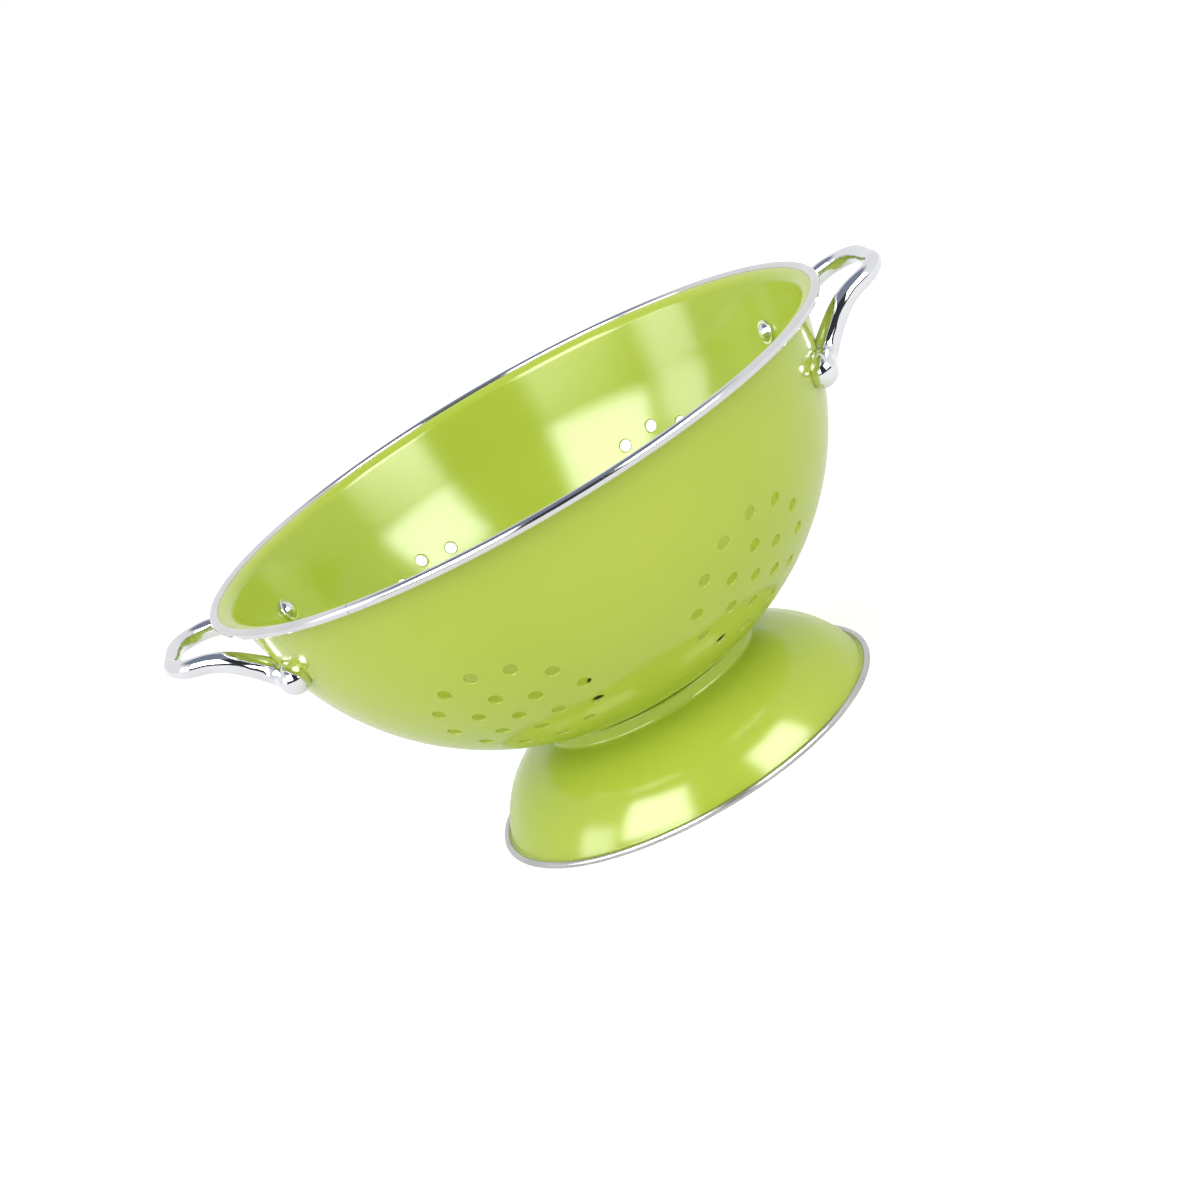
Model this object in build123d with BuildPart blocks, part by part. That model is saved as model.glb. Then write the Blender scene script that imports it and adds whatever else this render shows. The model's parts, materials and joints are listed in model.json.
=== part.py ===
from build123d import *
import os
from math import atan2, cos, degrees, hypot, radians, sin, sqrt, tan

# Footed colander of enamelled sheet steel: a round bowl with punched drain holes stands on
# a domed foot ring. Both open edges are bound with a rolled metal trim, and a cast bow
# handle is riveted on at each end. The frame stands on the floor at the centre of the foot,
# +Z up, with the handles along X. Lengths are in millimetres, angles in degrees.

# Driving sizes
rim_diameter = 279.4
overall_height = 151.3
foot_diameter = 173.2
bowl_sheet = 1.2
foot_sheet = 0.9
trim_sheet = 0.5
overrun = 5.0

# Bowl shape: a flat spot at the bottom, a round belly, a straight drafted wall and a lip
bowl_clearance = 32.4
flat_spot_radius = 12.25
belly_join_dip = 55.0
wall_draft = 12.67
wall_height = 25.2
lip_reach = 5.9
curl_radius = 3.5

# Drain holes: rings of a hexagonal count round a centre hole
hole_diameter = 5.4
ring_counts = (6, 12)
ring_pitch = 15.0
cluster_dip = 38.8
cluster_azimuths = (-118.1, -58.2, 60.3, 121.2)
drain_counts = (6, 12, 18)
drain_pitch = 12.0
drain_turn = 5.0

# Rim and foot trims, rolled to a round bead that is slit for the sheet it binds
rim_bead_radius = 2.0
foot_bead_radius = 1.4
foot_flat_depth = 0.2
binding_clearance = 0.05
seam_width = 0.2
seam_azimuth = -125.3

# Foot: a domed ring with a short collar and a seat under the bowl
dome_radius = 44.5
collar_radius = 47.0
collar_height = 4.6
collar_bend_radius = 1.6
seat_width = 6.0
seat_gap = 0.2
hem_bend_radius = 1.0
hem_reach = 1.3

# Handles: a bow whose thick feet lie along the wall, thinner towards its outer bar
handle_reach = 25.6
bar_depth = 6.6
bar_height = 7.2
handle_foot_thickness = 13.2
handle_foot_azimuth = 25.0
handle_foot_drop = 28.4
handle_foot_standoff = 2.9
handle_crest_rise = 18.4
handle_foot_shares = ((0.0, 1.0, 0.0), (0.062, 0.820, 0.0), (0.141, 0.660, 0.022))
handle_leg_shares = ((0.300, 0.590, 0.360), (0.553, 0.545, 0.800), (0.890, 0.410, 0.984))
bar_middle_shares = (1.0, 0.0, 1.0)
handle_taper = 2.0
handle_stations = 20
handle_end_turns = (15.0, 30.0, 45.0, 60.0, 75.0)
handle_seat_gap = 0.1

# Rivets: a domed head inside the bowl, a shank through the wall into the handle's foot
rivet_azimuth = 20.4
rivet_drop = 25.9
shank_diameter = 4.0
shank_reach = 4.5
shank_clearance = 0.05
shank_end_gap = 0.3
head_flange_diameter = 11.0
head_flange_thickness = 1.1
head_dome_diameter = 8.4
head_dome_height = 2.4
head_seat_gap = 0.2
head_edge_radius = 0.4

# Places that follow from the sizes above
hole_radius = hole_diameter / 2
rim_bead_r = rim_diameter / 2 - rim_bead_radius
rim_bead_z = overall_height - rim_bead_radius
lip_underside_z = rim_bead_z - bowl_sheet / 2
foot_bead_r = foot_diameter / 2 - foot_bead_radius
foot_bead_z = foot_bead_radius - foot_flat_depth
hem_top_z = foot_bead_z + foot_sheet / 2
handle_foot_height = overall_height - handle_foot_drop
rivet_height = overall_height - rivet_drop

# The belly is two smoothly joined arcs that leave the flat spot level and run into the wall
wall_slope = tan(radians(wall_draft))
wall_top_r = rim_bead_r - lip_reach
wall_foot_r = wall_top_r - wall_height * wall_slope
wall_foot_z = lip_underside_z - wall_height
belly_reach = wall_foot_r - flat_spot_radius
belly_depth = wall_foot_z - bowl_clearance
draft_cos, draft_sin = cos(radians(wall_draft)), sin(radians(wall_draft))
join_cos, join_sin = cos(radians(belly_join_dip)), sin(radians(belly_join_dip))
turn_share = join_cos * (join_sin - draft_sin) - (1 - join_sin) * (draft_cos - join_cos)
lower_belly_radius = belly_reach * (join_sin - draft_sin) - belly_depth * (draft_cos - join_cos)
lower_belly_radius /= turn_share
upper_belly_radius = belly_depth * join_cos - belly_reach * (1 - join_sin)
upper_belly_radius /= turn_share
lower_centre_z = bowl_clearance + lower_belly_radius
upper_centre_r = flat_spot_radius + (lower_belly_radius - upper_belly_radius) * join_cos
upper_centre_z = lower_centre_z - (lower_belly_radius - upper_belly_radius) * join_sin


def wall_r(height):
    """Radius of the bowl's outer face at a height on its drafted wall."""
    return wall_foot_r + (height - wall_foot_z) * wall_slope


def belly_z(radius, standoff=0.0):
    """Height of the lower belly at a radius, on a face that lies a little outside the bowl."""
    return lower_centre_z - sqrt((lower_belly_radius + standoff) ** 2 - (radius - flat_spot_radius) ** 2)


def wall_plane(azimuth, height, standoff=0.0):
    """Plane on the wall's outer face, facing out of the bowl, its local Y up the wall."""
    turn = radians(azimuth)
    dip = radians(wall_draft)
    out = Vector(cos(turn) * cos(dip), sin(turn) * cos(dip), -sin(dip))
    around = Vector(-sin(turn), cos(turn), 0)
    foot = Vector(wall_r(height) * cos(turn), wall_r(height) * sin(turn), height)
    return Plane(origin=foot + out * standoff, x_dir=around, z_dir=out)


def cluster_plane(azimuth):
    """Plane on the upper belly's outer face at the middle of one hole cluster."""
    turn = radians(azimuth)
    dip = radians(cluster_dip)
    reach = upper_centre_r + upper_belly_radius * cos(dip)
    middle_z = upper_centre_z - upper_belly_radius * sin(dip)
    out = Vector(cos(turn) * cos(dip), sin(turn) * cos(dip), -sin(dip))
    middle = Vector(reach * cos(turn), reach * sin(turn), middle_z)
    return Plane(origin=middle, x_dir=Vector(-sin(turn), cos(turn), 0), z_dir=out)


# Each rivet and each handle foot: side of the bowl along X, and along Y
corners = {
    "right_front": (1, -1),
    "right_back": (1, 1),
    "left_front": (-1, -1),
    "left_back": (-1, 1),
}


def corner_azimuth(side, end, azimuth):
    """Azimuth of a place that is repeated at both feet of both handles."""
    return degrees(atan2(end * sin(radians(azimuth)), side * cos(radians(azimuth))))


# Bowl
with BuildPart() as bowl:
    with BuildSketch(Plane.XZ):
        with BuildLine():
            Line((0, bowl_clearance), (flat_spot_radius, bowl_clearance))
            CenterArc((flat_spot_radius, lower_centre_z), lower_belly_radius, -90, 90 - belly_join_dip)
            CenterArc(
                (upper_centre_r, upper_centre_z),
                upper_belly_radius,
                -belly_join_dip,
                belly_join_dip - wall_draft,
            )
            FilletPolyline(
                (wall_foot_r, wall_foot_z),
                (wall_top_r, lip_underside_z),
                (rim_bead_r, lip_underside_z),
                radius=curl_radius,
            )
            offset(amount=bowl_sheet, side=Side.LEFT)
        make_face()
    revolve(axis=Axis.Z)
    for azimuth in cluster_azimuths:
        with BuildSketch(cluster_plane(azimuth).offset(overrun)):
            Circle(hole_radius)
            for ring, count in enumerate(ring_counts, 1):
                with PolarLocations(ring * ring_pitch, count, start_angle=90):
                    Circle(hole_radius)
        extrude(amount=-4 * overrun, mode=Mode.SUBTRACT)
    with BuildSketch(Plane.XY.offset(bowl_clearance - overrun)):
        Circle(hole_radius)
        for ring, count in enumerate(drain_counts, 1):
            with PolarLocations(ring * drain_pitch, count, start_angle=drain_turn):
                Circle(hole_radius)
    extrude(amount=4 * overrun, mode=Mode.SUBTRACT)
    for side, end in corners.values():
        with BuildSketch(wall_plane(corner_azimuth(side, end, rivet_azimuth), rivet_height, overrun)):
            Circle(shank_diameter / 2 + shank_clearance)
        extrude(amount=-2 * overrun - bowl_sheet, mode=Mode.SUBTRACT)
bowl.part.label = "bowl"

# Rim trim
with BuildPart() as rim_trim:
    with BuildSketch(Plane.XZ):
        with Locations((rim_bead_r, rim_bead_z)):
            Circle(rim_bead_radius)
            Circle(rim_bead_radius - trim_sheet, mode=Mode.SUBTRACT)
            Rectangle(
                rim_bead_radius + overrun,
                bowl_sheet + 2 * binding_clearance,
                align=(Align.MAX, Align.CENTER),
                mode=Mode.SUBTRACT,
            )
    revolve(axis=Axis.Z)
    with BuildSketch(Plane.XY.offset(rim_bead_z - rim_bead_radius)):
        with PolarLocations(rim_bead_r, 1, start_angle=seam_azimuth):
            Rectangle(4 * rim_bead_radius, seam_width)
    extrude(amount=2 * rim_bead_radius, mode=Mode.SUBTRACT)
rim_trim.part.label = "rim_trim"

# Foot: its dome is an arc that two small bends join to the collar and to the flat hem
seat_corner_z = belly_z(collar_radius, seat_gap)
seat_inner_radius = collar_radius - seat_width
collar_bend_r = collar_radius + collar_bend_radius
collar_bend_z = seat_corner_z - collar_height
hem_bend_r = foot_bead_r - hem_reach
hem_bend_z = hem_top_z + hem_bend_radius
bend_gap_r = hem_bend_r - collar_bend_r
bend_gap_z = collar_bend_z - hem_bend_z
bend_gap = hypot(bend_gap_r, bend_gap_z)
upper_reach = dome_radius + collar_bend_radius
lower_reach = dome_radius + hem_bend_radius
along_share = (1 + (upper_reach ** 2 - lower_reach ** 2) / bend_gap ** 2) / 2
aside_share = sqrt((upper_reach / bend_gap) ** 2 - along_share ** 2)
dome_centre_r = collar_bend_r + along_share * bend_gap_r - aside_share * bend_gap_z
dome_centre_z = collar_bend_z - along_share * bend_gap_z - aside_share * bend_gap_r
top_share = dome_radius / upper_reach
end_share = dome_radius / lower_reach
dome_top = (
    dome_centre_r + (collar_bend_r - dome_centre_r) * top_share,
    dome_centre_z + (collar_bend_z - dome_centre_z) * top_share,
)
dome_end = (
    dome_centre_r + (hem_bend_r - dome_centre_r) * end_share,
    dome_centre_z + (hem_bend_z - dome_centre_z) * end_share,
)

with BuildPart() as foot:
    with BuildSketch(Plane.XZ):
        with BuildLine():
            seat = RadiusArc(
                (seat_inner_radius, belly_z(seat_inner_radius, seat_gap)),
                (collar_radius, seat_corner_z),
                -lower_belly_radius - seat_gap,
            )
            collar = Line(seat @ 1, (collar_radius, collar_bend_z))
            collar_bend = TangentArc(collar @ 1, dome_top, tangent=collar % 1)
            dome = TangentArc(collar_bend @ 1, dome_end, tangent=collar_bend % 1)
            hem_bend = TangentArc(dome @ 1, (hem_bend_r, hem_top_z), tangent=dome % 1)
            Line(hem_bend @ 1, (foot_bead_r, hem_top_z))
            offset(amount=foot_sheet, side=Side.RIGHT)
        ring_section = make_face()
        shoulder = ring_section.vertices().sort_by_distance((collar_radius, seat_corner_z))[0]
        fillet(shoulder, foot_sheet)
    revolve(axis=Axis.Z)
foot.part.label = "foot"

# Foot trim, cut flat underneath where it stands on the floor
with BuildPart() as foot_trim:
    with BuildSketch(Plane.XZ):
        with Locations((foot_bead_r, foot_bead_z)):
            Circle(foot_bead_radius)
            Circle(foot_bead_radius - trim_sheet, mode=Mode.SUBTRACT)
            Rectangle(
                foot_bead_radius + overrun,
                foot_sheet + 2 * binding_clearance,
                align=(Align.MAX, Align.CENTER),
                mode=Mode.SUBTRACT,
            )
        with Locations((foot_bead_r, 0)):
            Rectangle(overrun, overrun, align=(Align.CENTER, Align.MAX), mode=Mode.SUBTRACT)
    revolve(axis=Axis.Z)
foot_trim.part.label = "foot_trim"

# The wall's outer face as a cone, which the feet of the handles are cut to
core_height = 2 * handle_foot_drop
core_foot_z = overall_height - core_height
core_standoff = handle_seat_gap / cos(radians(wall_draft))
with BuildPart() as wall_core:
    with Locations((0, 0, core_foot_z)):
        Cone(
            wall_r(core_foot_z) + core_standoff,
            wall_r(overall_height) + core_standoff,
            core_height,
            align=(Align.CENTER, Align.CENTER, Align.MIN),
        )

# Handles
foot_reach = wall_r(handle_foot_height) + handle_foot_standoff
foot_x = foot_reach * cos(radians(handle_foot_azimuth))
foot_y = foot_reach * sin(radians(handle_foot_azimuth))
foot_radius = handle_foot_thickness / 2
bar_x = rim_diameter / 2 + handle_reach - bar_depth / 2


def handle_point(end, shares):
    """Point on the right handle's centre line, by its shares of the reach, half width and rise."""
    x_share, y_share, z_share = shares
    height = handle_foot_height + handle_crest_rise * z_share
    return Vector(foot_x + (bar_x - foot_x) * x_share, end * foot_y * y_share, height)


handle_line_shares = handle_foot_shares + handle_leg_shares
front_leg = [handle_point(-1, shares) for shares in handle_line_shares]
back_leg = [handle_point(1, shares) for shares in reversed(handle_line_shares)]
centre_line = Spline(*front_leg, handle_point(1, bar_middle_shares), *back_leg)

# Sections of the bow: place, direction, and half its height and depth, with a round end past each foot
bow_sections = []
for station in range(handle_stations + 1):
    place_share = station / handle_stations
    thickening_share = abs(2 * place_share - 1) ** handle_taper
    half_height = foot_radius * thickening_share + bar_height / 2 * (1 - thickening_share)
    half_depth = foot_radius * thickening_share + bar_depth / 2 * (1 - thickening_share)
    bow_sections.append((centre_line @ place_share, centre_line % place_share, half_height, half_depth))
for end_turn in handle_end_turns:
    past_end = foot_radius * sin(radians(end_turn))
    end_radius = foot_radius * cos(radians(end_turn))
    front_place = centre_line @ 0 - (centre_line % 0) * past_end
    back_place = centre_line @ 1 + (centre_line % 1) * past_end
    bow_sections.insert(0, (front_place, centre_line % 0, end_radius, end_radius))
    bow_sections.append((back_place, centre_line % 1, end_radius, end_radius))

with BuildPart() as handle_right:
    for place, along, half_height, half_depth in bow_sections:
        upward = along.cross(Axis.Z.direction).cross(along)
        with BuildSketch(Plane(place, x_dir=upward, z_dir=along)):
            Ellipse(half_height, half_depth)
    loft()
    add(wall_core.part, mode=Mode.SUBTRACT)
    for end in (-1, 1):
        with BuildSketch(wall_plane(end * rivet_azimuth, rivet_height)):
            Circle(shank_diameter / 2 + shank_clearance)
        extrude(amount=shank_reach + shank_end_gap, mode=Mode.SUBTRACT)
handle_right.part.label = "handle_right"

with BuildPart() as handle_left:
    mirror(handle_right.part, about=Plane.YZ)
handle_left.part.label = "handle_left"

# Rivets
shank_radius = shank_diameter / 2
flange_radius = head_flange_diameter / 2
dome_foot_radius = head_dome_diameter / 2
crown_height = head_flange_thickness + head_dome_height
crown_radius = (dome_foot_radius ** 2 + head_dome_height ** 2) / (2 * head_dome_height)
wall_depth = bowl_sheet + head_seat_gap

rivets = {}
for corner, (side, end) in corners.items():
    seat_plane = wall_plane(corner_azimuth(side, end, rivet_azimuth), rivet_height, -wall_depth)
    with BuildPart() as rivet:
        with BuildSketch(Plane(seat_plane.origin, x_dir=seat_plane.x_dir, z_dir=seat_plane.y_dir)):
            with BuildLine():
                shank_and_flange = Polyline(
                    (0, -wall_depth - shank_reach),
                    (shank_radius, -wall_depth - shank_reach),
                    (shank_radius, 0),
                    (flange_radius, 0),
                    (flange_radius, head_flange_thickness),
                    (dome_foot_radius, head_flange_thickness),
                )
                crown = RadiusArc(shank_and_flange @ 1, (0, crown_height), -crown_radius)
                Line(crown @ 1, shank_and_flange @ 0)
            outline = make_face()
            brim = outline.vertices().group_by(Axis.X)[-1].sort_by(Axis.Y)[-1]
            fillet(brim, head_edge_radius)
        revolve(axis=Axis(seat_plane.origin, seat_plane.z_dir))
    rivet.part.label = "rivet_" + corner
    rivets[corner] = rivet.part

# Files
os.makedirs("parts", exist_ok=True)
export_step(bowl.part, "parts/bowl.step")
export_step(rim_trim.part, "parts/rim_trim.step")
export_step(foot.part, "parts/foot.step")
export_step(foot_trim.part, "parts/foot_trim.step")
export_step(handle_right.part, "parts/handle_right.step")
export_step(handle_left.part, "parts/handle_left.step")
for corner, piece in rivets.items():
    export_step(piece, "parts/rivet_" + corner + ".step")
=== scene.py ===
import bpy
import json
from math import asin, atan2, cos, degrees, pi, radians, sin, tan
from mathutils import Matrix, Vector


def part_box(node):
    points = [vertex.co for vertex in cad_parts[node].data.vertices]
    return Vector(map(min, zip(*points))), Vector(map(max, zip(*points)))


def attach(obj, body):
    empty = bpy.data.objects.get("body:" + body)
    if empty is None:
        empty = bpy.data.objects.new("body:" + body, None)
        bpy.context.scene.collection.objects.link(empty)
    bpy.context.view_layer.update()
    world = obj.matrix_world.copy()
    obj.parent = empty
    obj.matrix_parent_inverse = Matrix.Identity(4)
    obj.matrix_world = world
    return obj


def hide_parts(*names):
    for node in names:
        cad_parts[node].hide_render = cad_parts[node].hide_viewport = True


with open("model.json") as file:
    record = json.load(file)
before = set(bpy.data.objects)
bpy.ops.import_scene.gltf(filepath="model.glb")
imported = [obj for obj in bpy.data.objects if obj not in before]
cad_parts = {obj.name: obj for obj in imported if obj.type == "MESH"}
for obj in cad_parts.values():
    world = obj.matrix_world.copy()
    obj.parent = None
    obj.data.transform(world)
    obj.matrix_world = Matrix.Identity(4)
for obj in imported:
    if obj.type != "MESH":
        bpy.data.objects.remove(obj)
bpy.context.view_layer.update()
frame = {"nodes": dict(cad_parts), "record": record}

MM = 0.001

# Sizes in millimetres, angles in degrees. The outer sizes come from the frame, the rest repeat
# those of the solids.
rim_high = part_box("rim_trim")[1] / MM
rim_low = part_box("rim_trim")[0] / MM
foot_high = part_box("foot_trim")[1] / MM
bowl_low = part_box("bowl")[0] / MM
bar_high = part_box("handle_right")[1] / MM

BOWL_SHEET = 1.2
FOOT_SHEET = 0.9
TRIM_SHEET = 0.5
CRIMP_GAP = 0.05
RIM_BEAD = (rim_high.z - rim_low.z) / 2
RIM_BEAD_R = rim_high.x - RIM_BEAD
RIM_BEAD_Z = rim_high.z - RIM_BEAD
FOOT_BEAD = 1.4
FOOT_BEAD_R = foot_high.x - FOOT_BEAD
FOOT_BEAD_Z = foot_high.z - FOOT_BEAD
SEAM_WIDTH = 0.2
SEAM_AZIMUTH = -125.3

BOTTOM_Z = bowl_low.z
FLAT_SPOT = 12.25
WALL_DRAFT = 12.67
WALL_HEIGHT = 25.2
LIP_REACH = 5.9
WALL_TOP_R = RIM_BEAD_R - LIP_REACH
LIP_Z = RIM_BEAD_Z - BOWL_SHEET / 2
WALL_FOOT_Z = LIP_Z - WALL_HEIGHT
WALL_FOOT_R = WALL_TOP_R - WALL_HEIGHT * tan(radians(WALL_DRAFT))
CURL = 3.5
BELLY_RISE = WALL_FOOT_Z - BOTTOM_Z
BELLY = ((WALL_FOOT_R - FLAT_SPOT) ** 2 + BELLY_RISE ** 2) / (2 * BELLY_RISE)
BELLY_Z = BOTTOM_Z + BELLY

HOLE = 2.7
HOLE_LIP = 0.5
HOLE_LIP_START = 105.0
HOLE_RINGS = (6, 12)
HOLE_PITCH = 15.0
CLUSTER_DIP = 38.8
CLUSTER_AZIMUTHS = (-118.1, -58.2, 60.3, 121.2)
DRAIN_RINGS = (6, 12, 18)
DRAIN_PITCH = 12.0
DRAIN_TURN = 5.0
SPOOL_FLARE = 0.3
SPOOL_PAST = 0.1
SPOOL_TIP = 0.4
RAY_START = 20.0
OFF_POLE = 0.01

COLLAR = 47.0
SEAT_INNER = 41.0
SEAT_GAP = 0.2
SEAT_MARGIN = 1.0
COLLAR_BEND = 1.6
COLLAR_BEND_Z = 32.88
DOME = 44.5
DOME_R = 41.06
DOME_Z = -12.6
HEM_BEND = 1.0
HEM_REACH = 1.3
HEM_BEND_R = FOOT_BEAD_R - HEM_REACH
HEM_BEND_Z = FOOT_BEAD_Z + FOOT_SHEET / 2 + HEM_BEND

BAR_DEPTH = 3.3
BAR_HEIGHT = 3.6
BOW_KNOTS = (
    (116.8, 54.5, 122.9),
    (119.6, 44.7, 122.9),
    (123.2, 35.9, 123.3),
    (130.4, 32.1, 129.5),
    (141.8, 29.7, 137.6),
    (157.0, 22.3, 141.0),
)
BOW_MIDDLE = (bar_high.x - BAR_DEPTH, 0.0, 141.3)
BOW_FOOT = 6.6
BOW_CAP_TURNS = (10, 25, 40, 55, 70)
BOW_TAPER = 2.0
BOW_SEAT_GAP = 0.1
CORE_START = -60.0
RIVET_AZIMUTH = 20.4
RIVET_Z = 125.4
RIVET_BORE = 2.05
RIVET_BORE_DEPTH = 4.8
WALL_BORE_DEPTH = 4.0
BORE_PAST = 3.0

# Steps round each kind of piece, then along each kind of line
ROUND_STEPS = 256
RIM_TRIM_STEPS = 512
FOOT_TRIM_STEPS = 384
HOLE_STEPS = 32
BORE_STEPS = 24
BAR_SIDES = 40
BELLY_STEPS = 40
DOME_STEPS = 36
CORE_STEPS = 24
BEND_STEPS = 8
CORNER_STEPS = 6
LIP_STEPS = 3
TRIM_OUTER_STEPS = 44
TRIM_INNER_STEPS = 28
PATH_STEPS = 24
BAR_RINGS = 60

WELD = 0.001 * MM
SHEET_SMOOTHING = 40.0
BOW_SMOOTHING = 45.0


# Materials

ENAMEL_COLOURS = ((0.455, 0.575, 0.054), (0.490, 0.605, 0.066))
ENAMEL_ROUGHNESS = (0.13, 0.19)
ENAMEL_CLOUDS = 9.0
ENAMEL_PEEL = 160.0
ENAMEL_PEEL_DEPTH = 0.02 * MM
ENAMEL_IOR = 1.52
METAL_CLOUDS = 60.0
# Darker and lighter colour, sharper and duller roughness, lumps of grain per metre and their
# depth
METALS = {
    "rim_steel": ((0.74, 0.74, 0.77), (0.80, 0.80, 0.82), 0.07, 0.13, 500.0, 0.004 * MM),
    "foot_steel": ((0.55, 0.55, 0.57), (0.64, 0.64, 0.65), 0.24, 0.34, 700.0, 0.006 * MM),
    "mirror_chrome": ((0.80, 0.81, 0.85), (0.87, 0.88, 0.91), 0.03, 0.06, 250.0, 0.02 * MM),
}


def shader_of(material):
    """The material's node tree and its main shader, with the tree emptied of anything else."""
    material.use_nodes = True
    tree = material.node_tree
    tree.nodes.clear()
    shader = tree.nodes.new("ShaderNodeBsdfPrincipled")
    output = tree.nodes.new("ShaderNodeOutputMaterial")
    tree.links.new(shader.outputs["BSDF"], output.inputs["Surface"])
    return tree, shader


def noise(tree, scale, detail=2.0, roughness=0.5):
    """A noise texture on the object's own coordinates, its scale in lumps per metre."""
    place = tree.nodes.new("ShaderNodeTexCoord")
    texture = tree.nodes.new("ShaderNodeTexNoise")
    texture.inputs["Scale"].default_value = scale
    texture.inputs["Detail"].default_value = detail
    texture.inputs["Roughness"].default_value = roughness
    tree.links.new(place.outputs["Object"], texture.inputs["Vector"])
    return texture.outputs["Fac"]


def colour_between(tree, factor, low, high, low_at=0.35, high_at=0.65):
    """A colour ramp from low to high over the middle of a factor."""
    ramp = tree.nodes.new("ShaderNodeValToRGB")
    ramp.color_ramp.elements[0].position = low_at
    ramp.color_ramp.elements[0].color = (*low, 1)
    ramp.color_ramp.elements[1].position = high_at
    ramp.color_ramp.elements[1].color = (*high, 1)
    tree.links.new(factor, ramp.inputs["Fac"])
    return ramp.outputs["Color"]


def number_between(tree, factor, low, high):
    """A factor from 0 to 1 stretched between two numbers."""
    stretch = tree.nodes.new("ShaderNodeMapRange")
    stretch.inputs["To Min"].default_value = low
    stretch.inputs["To Max"].default_value = high
    tree.links.new(factor, stretch.inputs["Value"])
    return stretch.outputs["Result"]


def bump(tree, height, distance, strength=1.0):
    """A bump from a height, as deep as distance in metres."""
    node = tree.nodes.new("ShaderNodeBump")
    node.inputs["Strength"].default_value = strength
    node.inputs["Distance"].default_value = distance
    tree.links.new(height, node.inputs["Height"])
    return node.outputs["Normal"]


def lime_enamel():
    """Glossy enamel, a little uneven in colour and gloss, with a shallow orange peel."""
    material = bpy.data.materials.new("lime_enamel")
    tree, shader = shader_of(material)
    cloud = noise(tree, ENAMEL_CLOUDS)
    peel = noise(tree, ENAMEL_PEEL, detail=1.0)
    colour = colour_between(tree, cloud, *ENAMEL_COLOURS)
    gloss = number_between(tree, cloud, *ENAMEL_ROUGHNESS)
    tree.links.new(colour, shader.inputs["Base Color"])
    tree.links.new(gloss, shader.inputs["Roughness"])
    tree.links.new(bump(tree, peel, ENAMEL_PEEL_DEPTH), shader.inputs["Normal"])
    shader.inputs["IOR"].default_value = ENAMEL_IOR
    return material


def metal(name, low, high, sharp, dull, grain_scale, grain_depth):
    """Bare metal, cloudy in colour and gloss, with a fine grain."""
    material = bpy.data.materials.new(name)
    tree, shader = shader_of(material)
    cloud = noise(tree, METAL_CLOUDS, detail=3.0)
    grain = noise(tree, grain_scale)
    colour = colour_between(tree, cloud, low, high)
    gloss = number_between(tree, cloud, sharp, dull)
    tree.links.new(colour, shader.inputs["Base Color"])
    tree.links.new(gloss, shader.inputs["Roughness"])
    tree.links.new(bump(tree, grain, grain_depth), shader.inputs["Normal"])
    shader.inputs["Metallic"].default_value = 1.0
    return material


rim_steel, foot_steel, chrome = [metal(name, *look) for name, look in METALS.items()]
finish_of = {
    "enamel": lime_enamel(),
    "rim_steel": rim_steel,
    "foot_steel": foot_steel,
    "handle_chrome": chrome,
    "rivet_chrome": chrome,
}
for part in frame["record"]["subparts"]:
    for place in frame["nodes"][part["node"]].material_slots:
        place.material = finish_of[part["material_slot"]]


# Modelling by hand

def arc(middle_r, middle_z, radius, start, end, steps):
    """Points in millimetres along an arc of a section, from one angle in degrees to another."""
    angles = [radians(start + (end - start) * step / steps) for step in range(steps + 1)]
    return [(middle_r + radius * cos(angle), middle_z + radius * sin(angle)) for angle in angles]


def draw_section(name, points):
    """A new piece that is one chain of edges in the XZ plane, extruded point by point."""
    bpy.ops.object.select_all(action="DESELECT")
    bpy.ops.mesh.primitive_plane_add(size=MM, location=(0, 0, 0))
    piece = bpy.context.object
    piece.name = name
    piece.data.name = name
    places = [Vector((r, 0, z)) * MM for r, z in points]
    bpy.ops.object.mode_set(mode="EDIT")
    bpy.ops.mesh.select_mode(type="VERT")
    bpy.ops.mesh.select_all(action="SELECT")
    bpy.ops.mesh.merge(type="CENTER")
    bpy.ops.transform.translate(value=places[0])
    for here, there in zip(places, places[1:]):
        bpy.ops.mesh.extrude_vertices_move(TRANSFORM_OT_translate={"value": there - here})
    return piece


def spin_section(steps, turn=2 * pi):
    """Spins the section that is being edited round the upright axis and closes what it makes."""
    bpy.ops.mesh.select_all(action="SELECT")
    bpy.ops.mesh.remove_doubles(threshold=WELD)
    bpy.ops.mesh.select_all(action="SELECT")
    bpy.ops.mesh.spin(steps=steps, angle=turn, center=(0, 0, 0), axis=(0, 0, 1))
    bpy.ops.mesh.select_all(action="SELECT")
    bpy.ops.mesh.remove_doubles(threshold=WELD)
    bpy.ops.mesh.select_all(action="SELECT")
    bpy.ops.mesh.fill_holes(sides=0)
    bpy.ops.mesh.select_all(action="SELECT")
    bpy.ops.mesh.normals_make_consistent(inside=False)
    bpy.ops.object.mode_set(mode="OBJECT")


def turned(name, points, steps):
    """A piece spun from a section."""
    piece = draw_section(name, points)
    spin_section(steps)
    return piece


def cut(piece, cutter):
    """Cuts one piece with another, which is then thrown away."""
    bpy.ops.object.select_all(action="DESELECT")
    bpy.context.view_layer.objects.active = piece
    piece.select_set(True)
    bpy.ops.object.modifier_add(type="BOOLEAN")
    knife = piece.modifiers[-1]
    knife.operation = "DIFFERENCE"
    knife.solver = "MANIFOLD"
    knife.object = cutter
    bpy.ops.object.modifier_apply(modifier=knife.name)
    bpy.data.objects.remove(cutter, do_unlink=True)


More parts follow.
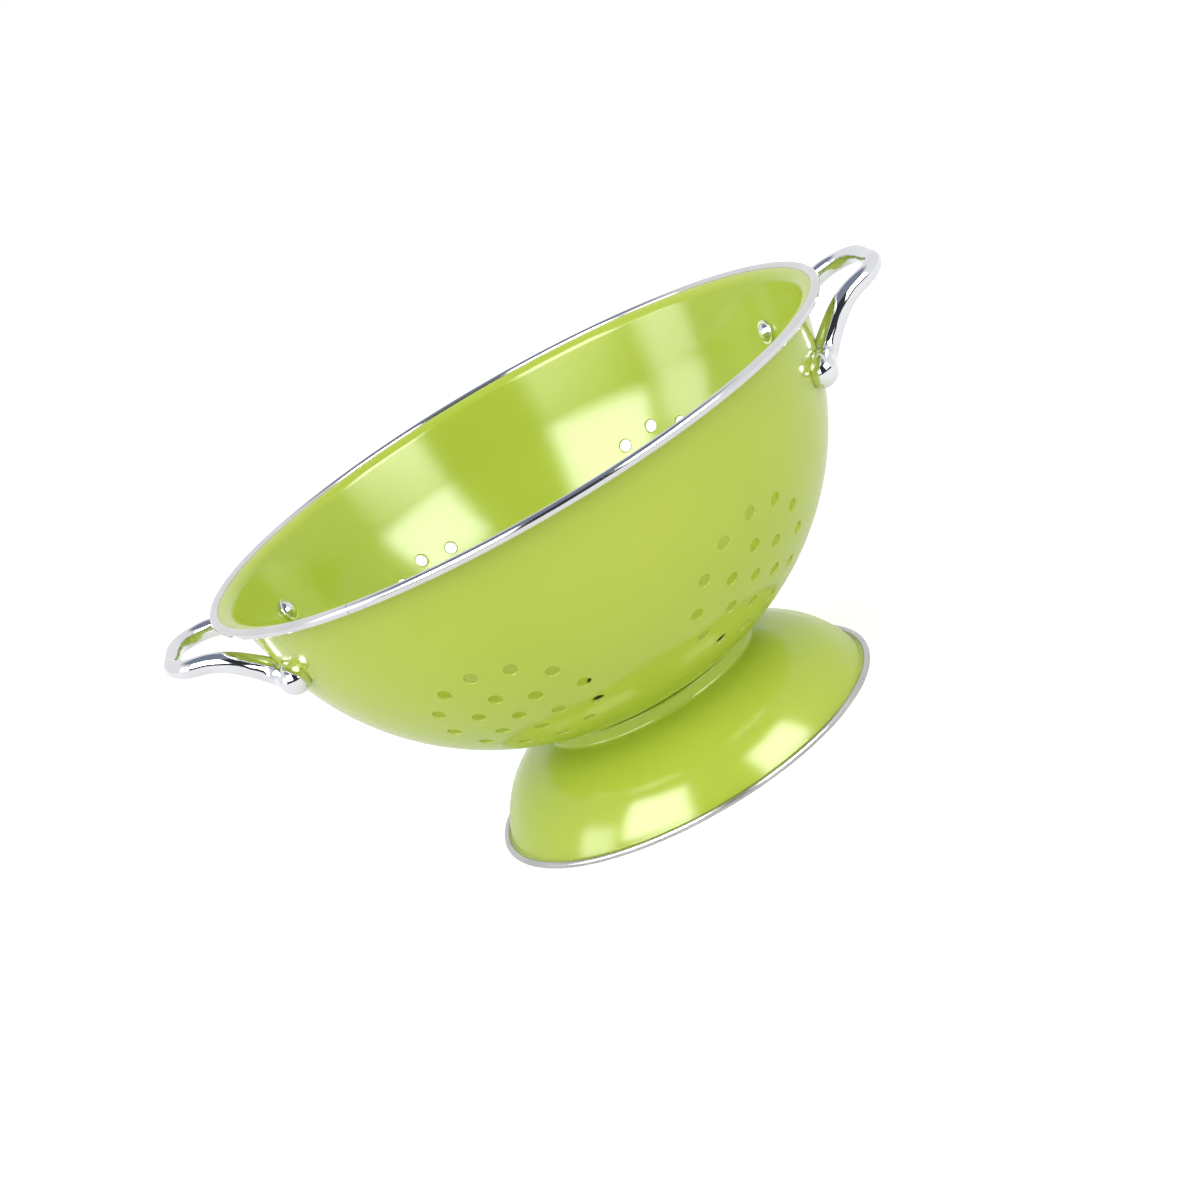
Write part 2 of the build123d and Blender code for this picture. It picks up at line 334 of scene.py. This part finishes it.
def smooth(piece, angle=SHEET_SMOOTHING):
    """Smooth shading up to an angle, with the normals led by the larger faces."""
    bpy.ops.object.select_all(action="DESELECT")
    bpy.context.view_layer.objects.active = piece
    piece.select_set(True)
    bpy.ops.object.shade_smooth_by_angle(angle=radians(angle))
    bpy.ops.object.modifier_add(type="WEIGHTED_NORMAL")
    piece.modifiers[-1].keep_sharp = True
    bpy.ops.object.modifier_apply(modifier=piece.modifiers[-1].name)


def settle(piece, slot, node):
    """Gives a finished piece its material and puts it in the place of a node."""
    piece.data.materials.clear()
    piece.data.materials.append(finish_of[slot])
    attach(piece, "root")
    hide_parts(node)


def placed_copies(cutter, frames):
    """Joins copies of a cutter, one in each frame, into one cutter and removes the first."""
    copies = []
    for where in frames:
        copy = cutter.copy()
        copy.data = cutter.data.copy()
        copy.data.transform(where)
        bpy.context.collection.objects.link(copy)
        copies.append(copy)
    bpy.data.objects.remove(cutter, do_unlink=True)
    bpy.ops.object.select_all(action="DESELECT")
    for copy in copies:
        copy.select_set(True)
    bpy.context.view_layer.objects.active = copies[0]
    bpy.ops.object.join()
    return copies[0]


def facing(place, out):
    """The frame at a place whose Z points out."""
    turn = out.to_track_quat("Z", "Y").to_matrix().to_4x4()
    return Matrix.Translation(place) @ turn


# Bowl, with the rounded lips that enamel leaves round every hole

def bowl_section():
    """Outer face from the middle of the bottom to the lip, then the inner face back again."""
    bend_r = WALL_TOP_R + CURL * tan(radians(90 - WALL_DRAFT) / 2)
    bend_z = LIP_Z - CURL
    outer = [(0, BOTTOM_Z), (FLAT_SPOT / 2, BOTTOM_Z)]
    outer += arc(FLAT_SPOT, BELLY_Z, BELLY, -90, -WALL_DRAFT, BELLY_STEPS)
    outer += arc(bend_r, bend_z, CURL, 180 - WALL_DRAFT, 90, BEND_STEPS)
    outer.append((RIM_BEAD_R, LIP_Z))
    inner_z = BOTTOM_Z + BOWL_SHEET
    inner = [(RIM_BEAD_R, LIP_Z + BOWL_SHEET)]
    inner += arc(bend_r, bend_z, CURL + BOWL_SHEET, 90, 180 - WALL_DRAFT, BEND_STEPS)
    inner += arc(FLAT_SPOT, BELLY_Z, BELLY - BOWL_SHEET, -WALL_DRAFT, -90, BELLY_STEPS)
    inner += [(FLAT_SPOT / 2, inner_z), (0, inner_z)]
    return outer + inner


def hole_section():
    """A spool that cuts a hole with rounded lips through the sheet, whose outer face is at 0."""
    flare = HOLE + HOLE_LIP + SPOOL_FLARE
    outer = [(0, SPOOL_TIP), (flare, SPOOL_PAST)]
    outer += arc(HOLE + HOLE_LIP, -HOLE_LIP, HOLE_LIP, HOLE_LIP_START, 180, LIP_STEPS)
    inner = [(r, -BOWL_SHEET - z) for r, z in reversed(outer)]
    return outer + inner


def bore_section(top, bottom):
    """A rivet's bore between two heights over the wall's outer face."""
    return [(0, top), (RIVET_BORE, top), (RIVET_BORE, bottom), (0, bottom)]


def hole_frames(bowl):
    """Where every hole goes: its place on the bowl's outer face and the way that face points."""
    rays = []
    for azimuth in CLUSTER_AZIMUTHS:
        turn, dip = radians(azimuth), radians(CLUSTER_DIP)
        out = Vector((cos(turn) * cos(dip), sin(turn) * cos(dip), -sin(dip)))
        across = Vector((-sin(turn), cos(turn), 0))
        up = out.cross(across)
        reach = FLAT_SPOT + BELLY * cos(dip)
        middle = Vector((reach * cos(turn), reach * sin(turn), BELLY_Z - BELLY * sin(dip)))
        rays.append((middle, out))
        for ring, count in enumerate(HOLE_RINGS, 1):
            for number in range(count):
                angle = radians(90 + 360 * number / count)
                aside = across * cos(angle) + up * sin(angle)
                rays.append((middle + aside * ring * HOLE_PITCH, out))
    down = Vector((0, 0, -1))
    rays.append((Vector((OFF_POLE, 0, BOTTOM_Z)), down))
    for ring, count in enumerate(DRAIN_RINGS, 1):
        for number in range(count):
            angle = radians(DRAIN_TURN + 360 * number / count)
            reach = ring * DRAIN_PITCH
            rays.append((Vector((reach * cos(angle), reach * sin(angle), BOTTOM_Z)), down))
    frames = []
    for place, out in rays:
        start = (place + out * RAY_START) * MM
        spot, normal = bowl.ray_cast(start, -out)[1:3]
        frames.append(facing(spot, normal))
    return frames


def rivet_frames(side):
    """Frames on the wall's outer face at the two rivets of one side."""
    frames = []
    for end in (-1, 1):
        turn = atan2(end * sin(radians(RIVET_AZIMUTH)), side * cos(radians(RIVET_AZIMUTH)))
        dip = radians(WALL_DRAFT)
        reach = WALL_FOOT_R + (RIVET_Z - WALL_FOOT_Z) * tan(dip)
        out = Vector((cos(turn) * cos(dip), sin(turn) * cos(dip), -sin(dip)))
        frames.append(facing(Vector((reach * cos(turn), reach * sin(turn), RIVET_Z)) * MM, out))
    return frames


bowl = turned("bowl_shell", bowl_section(), ROUND_STEPS)
bpy.context.view_layer.update()
places = hole_frames(bowl)
cut(bowl, placed_copies(turned("hole_spool", hole_section(), HOLE_STEPS), places))
wall_bore = bore_section(BORE_PAST, -WALL_BORE_DEPTH)
rivet_places = rivet_frames(-1) + rivet_frames(1)
cut(bowl, placed_copies(turned("rivet_bore", wall_bore, BORE_STEPS), rivet_places))
smooth(bowl)
settle(bowl, "enamel", "bowl")


# Foot ring

def foot_section():
    """Outer face from the seat under the bowl down to the hem, then the inner face back again."""
    seat = BELLY + SEAT_GAP
    slope = degrees(asin((COLLAR - FLAT_SPOT) / seat))
    seat_start = degrees(asin((SEAT_INNER - FLAT_SPOT) / seat)) - 90
    seat_end = slope - (90 + SEAT_MARGIN)
    corner_z = BELLY_Z - seat * cos(radians(slope))
    shoulder = FOOT_SHEET * tan(radians(90 + slope) / 2)
    dome_top = degrees(atan2(COLLAR_BEND_Z - DOME_Z, COLLAR + COLLAR_BEND - DOME_R))
    dome_end = degrees(atan2(HEM_BEND_Z - DOME_Z, HEM_BEND_R - DOME_R))
    bend_r = COLLAR + COLLAR_BEND
    thin = FOOT_SHEET
    outer = arc(FLAT_SPOT, BELLY_Z, seat, seat_start, seat_end, CORNER_STEPS)
    outer += arc(COLLAR - thin, corner_z - shoulder, thin, 90 + slope, 0, CORNER_STEPS)
    outer += arc(bend_r, COLLAR_BEND_Z, COLLAR_BEND, 180, 180 + dome_top, BEND_STEPS)
    outer += arc(DOME_R, DOME_Z, DOME, dome_top, dome_end, DOME_STEPS)[1:-1]
    outer += arc(HEM_BEND_R, HEM_BEND_Z, HEM_BEND, 180 + dome_end, 270, CORNER_STEPS)
    outer.append((FOOT_BEAD_R, FOOT_BEAD_Z + thin / 2))
    inner = [(FOOT_BEAD_R, FOOT_BEAD_Z - thin / 2)]
    inner += arc(HEM_BEND_R, HEM_BEND_Z, HEM_BEND + thin, 270, 180 + dome_end, CORNER_STEPS)
    inner += arc(DOME_R, DOME_Z, DOME - thin, dome_end, dome_top, DOME_STEPS)[1:-1]
    inner += arc(bend_r, COLLAR_BEND_Z, COLLAR_BEND + thin, 180 + dome_top, 180, BEND_STEPS)
    inner += arc(FLAT_SPOT, BELLY_Z, seat + thin, seat_end, seat_start, CORNER_STEPS)
    return outer + inner + outer[:1]


foot = turned("foot_shell", foot_section(), ROUND_STEPS)
smooth(foot)
settle(foot, "enamel", "foot")


# Trims, rolled round the edges of the bowl and foot

def binding_section(bead_r, bead_z, bead, sheet):
    """A slit ring of trim sheet, open inwards for the edge it binds, and flat at the floor."""
    half_slit = sheet / 2 + CRIMP_GAP
    outer_gap = degrees(asin(half_slit / bead))
    inner_gap = degrees(asin(half_slit / (bead - TRIM_SHEET)))
    outer = arc(bead_r, bead_z, bead, 180 - outer_gap, outer_gap - 180, TRIM_OUTER_STEPS)
    core = bead - TRIM_SHEET
    inner = arc(bead_r, bead_z, core, inner_gap - 180, 180 - inner_gap, TRIM_INNER_STEPS)
    points = [(r, max(z, 0)) for r, z in outer + inner]
    return points + points[:1]


def seamed(name, points, bead_r, steps):
    """A trim that runs once round and leaves a butt seam."""
    piece = draw_section(name, points)
    gap_turn = SEAM_WIDTH / bead_r
    spin_section(steps, 2 * pi - gap_turn)
    piece.data.transform(Matrix.Rotation(radians(SEAM_AZIMUTH) + gap_turn / 2, 4, "Z"))
    return piece


rim_section = binding_section(RIM_BEAD_R, RIM_BEAD_Z, RIM_BEAD, BOWL_SHEET)
rim_binding = seamed("rim_binding", rim_section, RIM_BEAD_R, RIM_TRIM_STEPS)
smooth(rim_binding)
settle(rim_binding, "rim_steel", "rim_trim")
hem_section = binding_section(FOOT_BEAD_R, FOOT_BEAD_Z, FOOT_BEAD, FOOT_SHEET)
foot_binding = turned("foot_binding", hem_section, FOOT_TRIM_STEPS)
smooth(foot_binding)
settle(foot_binding, "foot_steel", "foot_trim")


# Bow handles

def bow_path(side):
    """The smooth line that a handle follows from its front foot to its back foot."""
    front = [(side * x, -y, z) for x, y, z in BOW_KNOTS]
    back = [(side * x, y, z) for x, y, z in reversed(BOW_KNOTS)]
    places = front + [(side * BOW_MIDDLE[0], BOW_MIDDLE[1], BOW_MIDDLE[2])] + back
    bpy.ops.object.select_all(action="DESELECT")
    bpy.ops.curve.primitive_bezier_curve_add(location=(0, 0, 0))
    path = bpy.context.object
    path.data.dimensions = "3D"
    path.data.twist_mode = "Z_UP"
    path.data.resolution_u = PATH_STEPS
    spline = path.data.splines[0]
    spline.bezier_points.add(len(places) - 2)
    for knot, place in zip(spline.bezier_points, places):
        knot.co = Vector(place) * MM
        knot.handle_left_type = "AUTO"
        knot.handle_right_type = "AUTO"
    return path


def bar_rings(length):
    """Place along the bar, depth and height of each ring, with a round end past both feet."""
    caps = [radians(angle) for angle in BOW_CAP_TURNS]
    start = [(-BOW_FOOT * cos(cap), BOW_FOOT * sin(cap), BOW_FOOT * sin(cap)) for cap in caps]
    middle = []
    for ring in range(BAR_RINGS + 1):
        share = ring / BAR_RINGS
        thick = abs(2 * share - 1) ** BOW_TAPER
        depth = BOW_FOOT * thick + BAR_DEPTH * (1 - thick)
        height = BOW_FOOT * thick + BAR_HEIGHT * (1 - thick)
        middle.append((length * share, depth, height))
    end = [(length - x, depth, height) for x, depth, height in reversed(start)]
    return start + middle + end


def straight_bar(name, length):
    """The handle before it is bent: rings extruded along X from a round end to a round end."""
    rings = [Vector(ring) * MM for ring in bar_rings(length)]
    bpy.ops.object.select_all(action="DESELECT")
    bpy.ops.mesh.primitive_circle_add(
        vertices=BAR_SIDES,
        radius=rings[0].y,
        fill_type="TRIFAN",
        location=(rings[0].x, 0, 0),
        rotation=(0, pi / 2, 0),
    )
    bar = bpy.context.object
    bar.name = name
    bar.data.name = name
    bpy.ops.object.transform_apply(location=True, rotation=True, scale=True)
    bpy.ops.object.mode_set(mode="EDIT")
    bpy.ops.mesh.select_mode(type="EDGE")
    bpy.ops.mesh.select_all(action="DESELECT")
    bpy.ops.mesh.select_non_manifold()
    for here, there in zip(rings, rings[1:]):
        step = (there.x - here.x, 0, 0)
        bpy.ops.mesh.extrude_edges_move(TRANSFORM_OT_translate={"value": step})
        growth = (1, there.y / here.y, there.z / here.z)
        bpy.ops.transform.resize(value=growth, center_override=(there.x, 0, 0))
    bpy.ops.mesh.extrude_edges_move(TRANSFORM_OT_translate={"value": (0, 0, 0)})
    bpy.ops.mesh.merge(type="COLLAPSE")
    bpy.ops.mesh.select_all(action="SELECT")
    bpy.ops.mesh.normals_make_consistent(inside=False)
    bpy.ops.object.mode_set(mode="OBJECT")
    return bar


def wall_core():
    """Everything inside the wall's outer face, which the feet of a handle are cut to."""
    reach = BELLY + BOW_SEAT_GAP
    top_z = rim_high.z
    top_r = WALL_FOOT_R + (top_z - WALL_FOOT_Z) * tan(radians(WALL_DRAFT)) + BOW_SEAT_GAP
    side = arc(FLAT_SPOT, BELLY_Z, reach, CORE_START, -WALL_DRAFT, CORE_STEPS)
    points = [(0, side[0][1])] + side + [(top_r, top_z), (0, top_z)]
    return turned("wall_core", points, ROUND_STEPS)


def bow(name, side, node):
    """One handle: a bar bent along its path, cut to the wall and bored for its rivets."""
    path = bow_path(side)
    bar = straight_bar(name, path.data.splines[0].calc_length() / MM)
    bpy.ops.object.modifier_add(type="CURVE")
    bend = bar.modifiers[-1]
    bend.object = path
    bend.deform_axis = "POS_X"
    bpy.ops.object.modifier_apply(modifier=bend.name)
    bpy.data.objects.remove(path, do_unlink=True)
    cut(bar, wall_core())
    bore = bore_section(RIVET_BORE_DEPTH, -BORE_PAST)
    cut(bar, placed_copies(turned("shank_bore", bore, BORE_STEPS), rivet_frames(side)))
    smooth(bar, BOW_SMOOTHING)
    settle(bar, "handle_chrome", node)


bow("bow_right", 1, "handle_right")
bow("bow_left", -1, "handle_left")


# Floor, studio and camera

FLOOR_SIZE = 8.0
FLOOR_GREY = (0.82, 0.82, 0.82, 1)
FLOOR_ROUGHNESS = 0.9
FLOOR_GLOW_SEEN = 0.50
FLOOR_GLOW_MIRRORED = 0.10
WHITE = (1, 1, 1, 1)
FILL = 0.86
WHITE_ROOM = 0.85
# Azimuth and elevation of the middle, half width, half height and softness in degrees,
# then the strength that is mirrored and the strength that lights
SOFTBOXES = (
    (-128.0, 33.0, 22.0, 17.0, 4.0, 13.0, 1.8),
    (-42.0, 27.0, 18.0, 14.0, 4.0, 13.0, 1.8),
    (-168.0, 18.0, 12.0, 12.0, 6.0, 6.0, 0.8),
)
# Elevation of the middle, half height and softness
CEILING = (90.0, 38.0, 8.0)
CEILING_COLOUR = (0.20, 0.24, 0.31, 1)
# Azimuth and elevation of the middle, half width, half height and softness
DARK_SIDE = (-90.0, 24.0, 66.0, 30.0, 5.0)
DARK_SIDE_COLOUR = (0.035, 0.037, 0.042, 1)

CAMERA_PLACE = (-0.79, -921.06, 337.30)
CAMERA_TILT = 73.992
CAMERA_ROLL = -30.228
CAMERA_SENSOR = 36.0
CAMERA_LENS = 69.82
CAMERA_CLIP = (0.01, 30.0)


def arithmetic(tree, operation, first, second=None):
    """A Math node on sockets or plain numbers."""
    node = tree.nodes.new("ShaderNodeMath")
    node.operation = operation
    for place, value in enumerate((first, second)):
        if value is None:
            continue
        if isinstance(value, (int, float)):
            node.inputs[place].default_value = value
        else:
            tree.links.new(value, node.inputs[place])
    return node.outputs[0]


def floor():
    """A pale floor that keeps the object's shadow and glows white to the camera."""
    bpy.ops.object.select_all(action="DESELECT")
    bpy.ops.mesh.primitive_plane_add(size=FLOOR_SIZE, location=(0, 0, 0))
    ground = bpy.context.object
    ground.name = "floor"
    material = bpy.data.materials.new("pale_floor")
    tree, shader = shader_of(material)
    shader.inputs["Base Color"].default_value = FLOOR_GREY
    shader.inputs["Roughness"].default_value = FLOOR_ROUGHNESS
    shader.inputs["Specular IOR Level"].default_value = 0.0
    shader.inputs["Emission Color"].default_value = WHITE
    ray = tree.nodes.new("ShaderNodeLightPath")
    seen = arithmetic(tree, "MULTIPLY", ray.outputs["Is Camera Ray"], FLOOR_GLOW_SEEN)
    mirrored = arithmetic(tree, "MULTIPLY", ray.outputs["Is Glossy Ray"], FLOOR_GLOW_MIRRORED)
    glow = arithmetic(tree, "ADD", seen, mirrored)
    tree.links.new(glow, shader.inputs["Emission Strength"])
    ground.data.materials.append(material)


def window(tree, angle, middle, half, softness):
    """1 where an angle lies within half of its middle, falling softly to 0 outside."""
    away = arithmetic(tree, "ABSOLUTE", arithmetic(tree, "SUBTRACT", angle, middle))
    edge = tree.nodes.new("ShaderNodeMapRange")
    edge.interpolation_type = "SMOOTHSTEP"
    edge.inputs["From Min"].default_value = half + softness
    edge.inputs["From Max"].default_value = half - softness
    tree.links.new(away, edge.inputs["Value"])
    return edge.outputs["Result"]


def patch(tree, angles, middle_az, middle_el, half_width, half_height, softness):
    """1 inside a patch of the sky, falling softly to 0 outside."""
    azimuth, elevation = angles
    across = window(tree, azimuth, middle_az, half_width, softness)
    upward = window(tree, elevation, middle_el, half_height, softness)
    return arithmetic(tree, "MULTIPLY", across, upward)


def background(tree, colour=WHITE, strength=1.0):
    """A Background shader of one colour, its strength a number or a socket."""
    node = tree.nodes.new("ShaderNodeBackground")
    node.inputs["Color"].default_value = colour
    if isinstance(strength, float):
        node.inputs["Strength"].default_value = strength
    else:
        tree.links.new(strength, node.inputs["Strength"])
    return node.outputs["Background"]


def joined(tree, kind, first, second, factor=None):
    """A Mix Shader or an Add Shader of two shaders."""
    node = tree.nodes.new(kind)
    shaders = [place for place in node.inputs if place.type == "SHADER"]
    tree.links.new(first, shaders[0])
    tree.links.new(second, shaders[1])
    if factor is not None:
        tree.links.new(factor, node.inputs["Fac"])
    return node.outputs["Shader"]


def looking(tree):
    """Azimuth and elevation in degrees of the way a ray leaves for the sky."""
    place = tree.nodes.new("ShaderNodeTexCoord")
    split = tree.nodes.new("ShaderNodeSeparateXYZ")
    tree.links.new(place.outputs["Generated"], split.inputs[0])
    turn = arithmetic(tree, "ARCTAN2", split.outputs["Y"], split.outputs["X"])
    rise = arithmetic(tree, "ARCSINE", split.outputs["Z"])
    azimuth = arithmetic(tree, "MULTIPLY", turn, degrees(1))
    elevation = arithmetic(tree, "MULTIPLY", rise, degrees(1))
    return azimuth, elevation


def surroundings():
    """A white room, dark behind the camera but for its softboxes, and pure white to the camera."""
    world = bpy.data.worlds.new("white_studio")
    bpy.context.scene.world = world
    world.use_nodes = True
    tree = world.node_tree
    tree.nodes.clear()
    angles = looking(tree)
    ray = tree.nodes.new("ShaderNodeLightPath")

    overhead = window(tree, angles[1], *CEILING)
    behind_camera = patch(tree, angles, *DARK_SIDE)
    mirrored = 0.0
    lighting = FILL
    for *place, shine, light in SOFTBOXES:
        glow = patch(tree, angles, *place)
        mirrored = arithmetic(tree, "ADD", mirrored, arithmetic(tree, "MULTIPLY", glow, shine))
        lighting = arithmetic(tree, "ADD", lighting, arithmetic(tree, "MULTIPLY", glow, light))

    mix, add = "ShaderNodeMixShader", "ShaderNodeAddShader"
    room = background(tree, strength=WHITE_ROOM)
    room = joined(tree, mix, room, background(tree, CEILING_COLOUR), overhead)
    room = joined(tree, mix, room, background(tree, DARK_SIDE_COLOUR), behind_camera)
    room = joined(tree, add, room, background(tree, strength=mirrored))
    plain = background(tree, strength=lighting)
    shone = joined(tree, mix, plain, room, ray.outputs["Is Glossy Ray"])
    seen = joined(tree, mix, shone, background(tree), ray.outputs["Is Camera Ray"])
    output = tree.nodes.new("ShaderNodeOutputWorld")
    tree.links.new(seen, output.inputs["Surface"])


def camera():
    """The camera that took the photo."""
    data = bpy.data.cameras.new("camera")
    data.sensor_width = CAMERA_SENSOR
    data.lens = CAMERA_LENS
    data.clip_start, data.clip_end = CAMERA_CLIP
    obj = bpy.data.objects.new("camera", data)
    bpy.context.collection.objects.link(obj)
    tilt = Matrix.Rotation(radians(CAMERA_TILT), 4, "X")
    roll = Matrix.Rotation(radians(CAMERA_ROLL), 4, "Z")
    obj.matrix_world = Matrix.Translation(Vector(CAMERA_PLACE) * MM) @ tilt @ roll
    bpy.context.scene.camera = obj


floor()
surroundings()
camera()
bpy.context.scene.view_settings.view_transform = "Standard"
